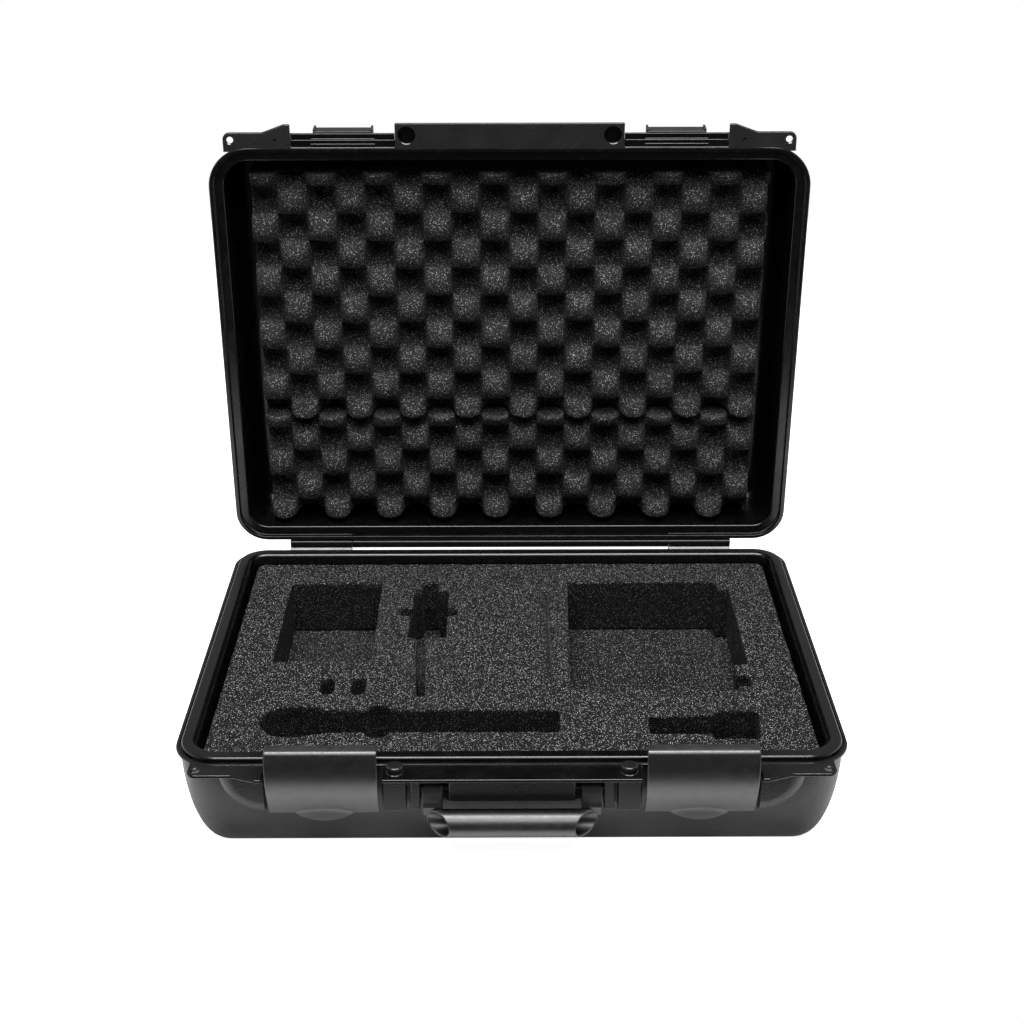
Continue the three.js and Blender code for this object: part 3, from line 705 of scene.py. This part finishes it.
def lid_lugs():
    """Ledges in each latch notch and the catch that the latch hooks over."""
    shapes = []
    back = -179.62
    for _, side in SIDES:
        centre = side * LATCH_X
        for half, front, low, high in (
            (BAY_HALF - 0.2, -189.2, 1.7, 5.0),
            (BAY_HALF - 0.4, -194.0, 3.4, 6.0),
            (26.6, -186.2, 0.9, 5.4),
            (26.4, -190.2, 2.4, 6.4),
            (24.3, -195.4, 4.2, 18.2),
        ):
            left, right = centre - half, centre + half
            shapes.append(slab(left, right, front, back, LID_Z + low, LID_Z + high, 0.7, PLAIN))
            back += 0.05  # no two backs share a plane
        for x in (centre - 23.6, centre + 23.6):
            shapes.append(slab(x - 0.9, x + 0.9, -197.2, -190, LID_Z + 4.6, LID_Z + 17.9, 0.5, PLAIN))
    return shapes


def lid_brow():
    """Housing behind the front flange of the lid, matching the base's."""
    top, face = LID_Z + LID_FLANGE - 1, FRONT["face"] + 3
    shapes = []
    for _, side in SIDES:
        shapes.append(guard(side, LID_Z + 26, top, face + 4.5, 8, -179.35))
        cup = [(8.4, LID_Z + 1.5), (8.4, LID_Z + 8.8), (7.4, LID_Z + 9.6)]
        shapes.append(column(cup, side * STUD["x"], STUD["y"], 40, GRAIN))
    shapes.append(slab(-CENTRE_HALF, CENTRE_HALF, face, -179.3, top, LID_Z + 26, 3, GRAIN))
    return shapes


def make_lid_shell():
    low, high = LID_Z + 0.4, LID_Z + LID_FLANGE + 0.3
    adds = [front_plate(low, high, -183.4, GRAIN, -179.5, 0.8), *lid_lugs(), *lid_brow(), *lid_knuckle()]
    cuts = [*padlock_holes(low, high)]
    stud_recess = [(7.6, low - 1), (7.6, low), (6.9, low + 0.8), (6.9, low + 7.2)]
    dimple = [(1.6, low - 0.5), (1.3, low + 0.5), (0.4, low + 0.8)]
    for _, side in SIDES:
        cuts.append(column(stud_recess, side * STUD["x"], STUD["y"], 32, PLAIN))
        cuts.append(column(dimple, side * 192.6, -189.8, 16, PLAIN))
    cuts.append(pin_bore(HINGE["bore"], HINGE["split"] + 1, (HINGE_Y, HINGE_Z)))
    made = moulding("lid_shell_moulding", lid_walls(), adds, cuts, SHELL_LOOKS, SHUT_TO_OPEN)
    return install(finish_edges(made), "lid", "shell_black", "lid_shell")


# ---- Studs, latches and handle ---------------------------------------------------------------------
def make_stud(label, side):
    foot, collar, neck, stem = RIM_Z - 0.4, 6.5, 5.7, STUD["foot"]
    profile = [(stem, RIM_Z - 2.1), (stem, foot)]
    profile += [(collar - 0.3, foot), (collar, foot + 0.3), (collar, foot + 1.1)]
    profile += [(neck, foot + 1.5), (neck, foot + 3.0), (neck + 0.4, foot + 3.4)]
    profile += [*arc(4.6, foot + 5.2, 1.6, 0, 90, 5), (2.0, foot + 7.0)]
    shape = column(profile, side * STUD["x"], STUD["y"], 48)
    made = finish_edges(build("locating_stud_turned_" + label, shape, (GLOSS,)), 40)
    return install(made, "base", "gloss_black", "locating_stud_" + label)


def lever_section():
    """Back face of a latch from the back of its lip to its lower edge, as (y, z)."""
    points = [(-193.2, 97.2), (-197.0, 97.2), (-200.4, 97.0)]
    points += bezier((-200.4, 97.0), (-201.3, 96.9), (-201.7, 96.3), (-201.9, 95.2), 6)
    points += bezier((-201.9, 95.2), (-206.5, 80), (-204.0, 64), (-189.0, 41.5), 48)
    return [Vector(p) for p in points]


def section_frame(section):
    """Normals of the section's points and their distances along it from its lower edge."""
    last = len(section) - 1
    normals = []
    for i in range(last + 1):
        along = (section[min(i + 1, last)] - section[max(i - 1, 0)]).normalized()
        normals.append(Vector((-along.y, along.x)))
    heights = [0.0]
    for a, b in zip(section[::-1], section[-2::-1]):
        heights.append(heights[-1] + (b - a).length)
    return normals, heights[::-1]


def at_height(section, heights, wanted):
    """Point of the section at a distance from its lower edge."""
    for a, b, near, far in zip(section[::-1], section[-2::-1], heights[::-1], heights[-2::-1]):
        if far >= wanted:
            return a.lerp(b, (wanted - near) / (far - near))
    return section[0]


def lever_plate():
    """The plate as one skin: rings of the section, with a lens-shaped thumb tab at the lower edge."""
    half, thick, tab_half, tab_rise, tab_drop = 40.4, 2.0, 21.2, 5.5, 3.8
    tab_run = Vector((-0.06, -1.0)).normalized()
    section = lever_section()
    normals, heights = section_frame(section)
    edge = 0.8
    end = [(0, 0.7), (0.25, 0.25), (edge, 0.0)]
    stations = [(t - half, pinch) for t, pinch in end]
    stations += [(edge - half + (2 * half - 2 * edge) * i / 90, 0.0) for i in range(1, 90)]
    stations += [(half - t, pinch) for t, pinch in end[::-1]]
    rings = []
    for x, pinch in stations:
        swell = max(0.0, 1 - (x / tab_half) ** 2)
        crease = tab_rise * swell**0.7
        back, front = [], []
        for point, normal, height in zip(section, normals, heights):
            if height < crease:
                reach = (crease + tab_drop * swell) * (1 - height / crease)
                point = at_height(section, heights, crease) + tab_run * reach
            back.append(point - normal * pinch)
            front.append(point - normal * (thick - pinch))
        rings.append([(x, *point) for point in back + front[::-1]])
    return loft(rings)


def make_lever(label, side):
    y, z = LINK_HEAD
    lug = [(-204.6, z + 8, 0), (-199.8, z - 9, 0), (y - 1, z - 4.5, 2), (y + 4.2, z - 3, 3),
           (y + 4.2, z + 3.4, 3), (y - 1, z + 4.5, 2)]
    adds = [prism(rounded(lug, 3), x0, x0 + 3.8, "x", 0.4, 0.4) for x0 in (-22.4, 18.6)]
    cuts = [pin_bore(LATCH_BORE, 24, LINK_HEAD)]
    place = Matrix.Translation((side * LATCH_X, 0, 0))
    made = moulding("latch_plate_" + label, lever_plate(), adds, cuts, (SATIN, SMOOTH), place)
    return install(finish_edges(made, 38), "lever_" + label, "satin_black", "latch_lever_" + label)


def make_link(label, side):
    """Link between foot pin and head pin: two eyes joined by a web with a lightening pocket."""
    (y0, z0), (y1, z1) = LINK_FOOT, LINK_HEAD
    half, radius = 18, 3.8
    web = [(y0 - 3, z0, 0), (y0 + 3, z0, 0), (y1 + 3, z1, 0), (y1 - 3, z1, 0)]
    adds = [barrel(radius, -half, half, y1, z1), prism(rounded(web), -half, half, "x", 0.6, 0.6)]
    cuts = [pin_bore(LATCH_BORE, half + 1, place) for place in (LINK_FOOT, LINK_HEAD)]
    cuts.append(slab(-13, 13, y0 - 6, y0 - 0.8, z0 + 4.5, z1 - 4.5, 0.8))
    place = Matrix.Translation((side * LATCH_X, 0, 0))
    made = moulding("latch_link_moulding_" + label, barrel(radius, -half, half, y0, z0), adds, cuts,
                    (SMOOTH,), place)
    return install(finish_edges(made), "link_" + label, "shell_black", "latch_link_" + label)


def grip_tube():
    """Tube whose ends are cut obliquely, longer behind than in front, with a rounded lip."""
    y, z, radius, bore, sides = -200, 37, 10.4, 7.9, 64
    half_length, slant, hollow = 54.3, 8.5, 32
    end = [(-hollow, bore - 0.3), (-1.3, bore), (-0.35, bore + 0.35), (0.0, bore + 1.0),
           (0.0, radius - 0.9), (-0.3, radius - 0.3), (-1.1, radius)]
    stations = [(-1, *station) for station in end] + [(1, *station) for station in end[::-1]]
    rings = []
    for side, offset, r in stations:
        directions = circle(0, 0, 1, sides)
        reaches = [half_length + slant * c + offset for c, _ in directions]
        rings.append([(side * reach, y + r * c, z + r * s) for reach, (c, s) in zip(reaches, directions)])
    return loft(rings)


def make_handle():
    py, pz = PIVOT
    profile = [(py + 3.2, pz + 3.4, 2.5), (py + 4, pz - 4, 2), (-187.4, 40, 1.4), (-190.8, 37, 1.2),
               (-196.4, 47.4, 1.6), (py - 5.2, pz - 11, 3), (py - 4.4, pz - 3, 3),
               (py - 3.4, pz + 3.4, 2.5)]
    adds = []
    for _, side in SIDES:
        x0, x1 = sorted((side * 50.6, side * 65.4))
        adds.append(prism(rounded(profile, 4), x0, x1, "x", 0.9, 0.9))
    cuts = [pin_bore(HANDLE_BORE, 67, PIVOT)]
    made = moulding("carry_handle_moulding", grip_tube(), adds, cuts, (SATIN,))
    return install(finish_edges(made, 35), "carry_handle", "satin_black", "handle")


# ---- Foam ------------------------------------------------------------------------------------------
def roughened(name, node, look, voxel, amount, size):
    """The CAD piece remeshed finely, with the soft uneven faces of cut foam."""
    made = bpy.data.objects.new(name, frame["nodes"][node].data.copy())
    bpy.context.scene.collection.objects.link(made)
    made.data.materials.clear()
    made.data.materials.append(look)
    remesh = made.modifiers.new("voxels", "REMESH")
    remesh.mode = "VOXEL"
    remesh.voxel_size = voxel * MM
    applied(made)
    for vertex in made.data.vertices:
        coarse = noise.noise_vector(vertex.co / (size * MM))
        fine = noise.noise_vector(vertex.co / (2.3 * MM))
        vertex.co += (coarse * amount + fine * 0.25) * MM
    made.data.polygons.foreach_set("use_smooth", [True] * len(made.data.polygons))
    return made


SLIT = {"x": 31.5, "front": -43, "back": 107, "half_width": 1.4, "depth": 9}


def add_slit(made, top):
    """A closed knife cut in the face of the foam."""
    for vertex in made.data.vertices:
        x, y, z = vertex.co / MM
        if z > top - 3 and SLIT["front"] < y < SLIT["back"]:
            near = max(0.0, 1 - abs(x - SLIT["x"]) / SLIT["half_width"])
            vertex.co.z -= near * SLIT["depth"] * MM


def make_base_foam():
    made = roughened("base_foam_pocketed", "base_foam_cut", CUT_FOAM, voxel=1.3, amount=0.45, size=14)
    add_slit(made, node_box("base_foam_cut")[1][2])
    install(made, "base", "foam_cut", "base_foam_cut")
    pad = roughened("base_foam_pad", "base_foam_floor", FLOOR_FOAM, voxel=2.4, amount=0.5, size=20)
    install(pad, "base", "foam_floor", "base_foam_floor")


EGG_PITCH = 48.9
EGG_DEPTH = 27.5
EGG_STEP = 1.6
EGG_PHASE = -12.8  # place of a column of peaks across the case


def egg_height(x, along, seed):
    """Convoluted foam, 1 on a peak and -1 in a pit; peaks in neighbouring rows are staggered."""
    wave = 2 * math.pi / EGG_PITCH
    drift = noise.noise_vector(Vector((x / 60, along / 60, seed)))
    c = math.cos(wave * (x + 1.2 * drift.x)) * math.cos(wave * (along + 1.2 * drift.y))
    return math.copysign(abs(c) ** 0.5, c)


def egg_face(low, high, across, deep, seed):
    """Points of the convoluted face, row by row; at the borders the pits draw in like cut foam."""
    border, pull_across, pull_deep = 6, 1.3, 1.0
    points = []
    for j in range(deep + 1):
        for i in range(across + 1):
            x = low[0] + (high[0] - low[0]) * i / across
            y = low[1] + (high[1] - low[1]) * j / deep
            level = egg_height(x - EGG_PHASE, y - low[1], seed)
            ruffle = noise.noise(Vector((x / 9, y / 9, seed))) * 0.6
            z = low[2] + 0.6 + EGG_DEPTH * (1 - level) / 2 + ruffle
            from_side = min(1.0, min(i, across - i) * EGG_STEP / border)
            from_end = min(1.0, min(j, deep - j) * EGG_STEP / border)
            x -= math.copysign((1 - from_side) * pull_across * (1 - level), x)
            tuck = (1 - from_end) * pull_deep * (1 - level)
            y += tuck if j < deep / 2 else -tuck
            points.append((x, y, z))
    return points


def egg_border(across, deep):
    """Numbers of the points round the face, in order."""
    width = across + 1
    border = list(range(across)) + [across + j * width for j in range(deep)]
    border += [deep * width + across - i for i in range(across)]
    return border + [(deep - j) * width for j in range(deep)]


def egg_sides(verts, border, high, seed, levels=6):
    """Rings of points from the border up to the flat back; the two ends of the sheet bow inwards."""
    rings = [border]
    for level in range(1, levels + 1):
        t = level / levels
        ring = []
        for index in border:
            x, y, z = verts[index]
            bow = 0.8 * abs(noise.noise(Vector((x / 14, y / 14, level + seed))))
            side = math.copysign(1, x) if abs(x) > high[0] - 5 else 0
            ring.append(len(verts))
            verts.append((x - side * bow * math.sin(math.pi * t), y, z + (high[2] - z) * t))
        rings.append(ring)
    return rings


def make_egg_sheet(name, node, seed):
    """A sheet drawn shut: peaks hang down from the lid's roof."""
    low, high = node_box(node, SHUT_TO_OPEN)
    across, deep = (round((high[k] - low[k]) / EGG_STEP) for k in (0, 1))
    verts = egg_face(low, high, across, deep, seed)
    width = across + 1
    corners = [j * width + i for j in range(deep) for i in range(across)]
    faces = [(a, a + 1, a + width + 1, a + width) for a in corners]
    rings = egg_sides(verts, egg_border(across, deep), high, seed)
    for inner, outer in zip(rings, rings[1:]):
        for k in range(len(inner)):
            n = (k + 1) % len(inner)
            faces.append((inner[k], inner[n], outer[n], outer[k]))
    faces.append(tuple(rings[-1]))
    made = build(name, (verts, faces, [0] * len(faces)), (LID_FOAM,), SHUT_TO_OPEN)
    made.data.polygons.foreach_set("use_smooth", [True] * len(made.data.polygons))
    install(made, "lid", "foam_lid", node)


# ---- Pieces ----------------------------------------------------------------------------------------
make_base_shell()
make_lid_shell()
make_handle()
for label, side in SIDES:
    make_stud(label, side)
    make_lever(label, side)
    make_link(label, side)
make_base_foam()
make_egg_sheet("lid_foam_convoluted_upper", "lid_foam_upper", 1.0)
make_egg_sheet("lid_foam_convoluted_lower", "lid_foam_lower", 2.0)

for node, carried in frame["nodes"].items():
    if "pin" in node or "rod" in node:
        for used in carried.material_slots:
            used.material = BLACK_STEEL if node.startswith("handle") else STEEL


# ---- Floor and light -------------------------------------------------------------------------------
def add_floor():
    """White sheet under the case, just large enough that its edges melt into the white surround."""
    side, front, back = 1500, -265, 1700
    corners = [(-side, front, 0), (side, front, 0), (side, back, 0), (-side, back, 0)]
    shape = (corners, [(0, 1, 2, 3)], [0])
    floor = build("floor", shape, (pale_floor(),))


def add_softbox(name, place, target, size, power):
    data = bpy.data.lights.new(name, "AREA")
    data.shape = "RECTANGLE"
    data.size, data.size_y = size
    data.energy = power
    light = bpy.data.objects.new(name, data)
    light.location = place
    light.rotation_euler = (Vector(target) - Vector(place)).to_track_quat("-Z", "Y").to_euler()
    bpy.context.scene.collection.objects.link(light)


def add_world(front, back, sides):
    """White surround whose light on the case comes from behind and the sides, not from the front."""
    world = bpy.data.worlds.new("studio")
    world.use_nodes = True
    tree = world.node_tree
    backdrop = tree.nodes["Background"]
    backdrop.inputs["Color"].default_value = (1.0, 1.0, 1.0, 1)
    place = tree.nodes.new("ShaderNodeTexCoord")
    split = tree.nodes.new("ShaderNodeSeparateXYZ")
    ramp = tree.nodes.new("ShaderNodeMapRange")
    ramp.interpolation_type = "SMOOTHSTEP"
    for key, number in zip(RANGE, (-0.5, 0.5, front, back)):
        ramp.inputs[key].default_value = number
    across = tree.nodes.new("ShaderNodeMath")
    across.operation = "ABSOLUTE"
    flank = tree.nodes.new("ShaderNodeMapRange")
    for key, number in zip(RANGE, (0.5, 1.0, 0.0, sides)):
        flank.inputs[key].default_value = number
    total = tree.nodes.new("ShaderNodeMath")
    path = tree.nodes.new("ShaderNodeLightPath")
    seen = tree.nodes.new("ShaderNodeMix")
    seen.inputs["B"].default_value = 1.0
    tree.links.new(place.outputs["Generated"], split.inputs["Vector"])
    tree.links.new(split.outputs["Y"], ramp.inputs["Value"])
    tree.links.new(path.outputs["Is Camera Ray"], seen.inputs["Factor"])
    tree.links.new(split.outputs["X"], across.inputs[0])
    tree.links.new(across.outputs[0], flank.inputs["Value"])
    tree.links.new(ramp.outputs["Result"], total.inputs[0])
    tree.links.new(flank.outputs["Result"], total.inputs[1])
    tree.links.new(total.outputs[0], seen.inputs["A"])
    tree.links.new(seen.outputs["Result"], backdrop.inputs["Strength"])
    bpy.context.scene.world = world


add_floor()
add_world(0.05, 0.3, 0.6)
add_softbox("overhead", (0.0, -0.22, 1.35), (0, -0.2, 0.0), (1.1, 0.42), 31)
add_softbox("front", (0.0, -1.3, 1.75), (0, 0.1, 0.15), (1.8, 0.7), 30)
bpy.context.scene.view_settings.view_transform = "Standard"
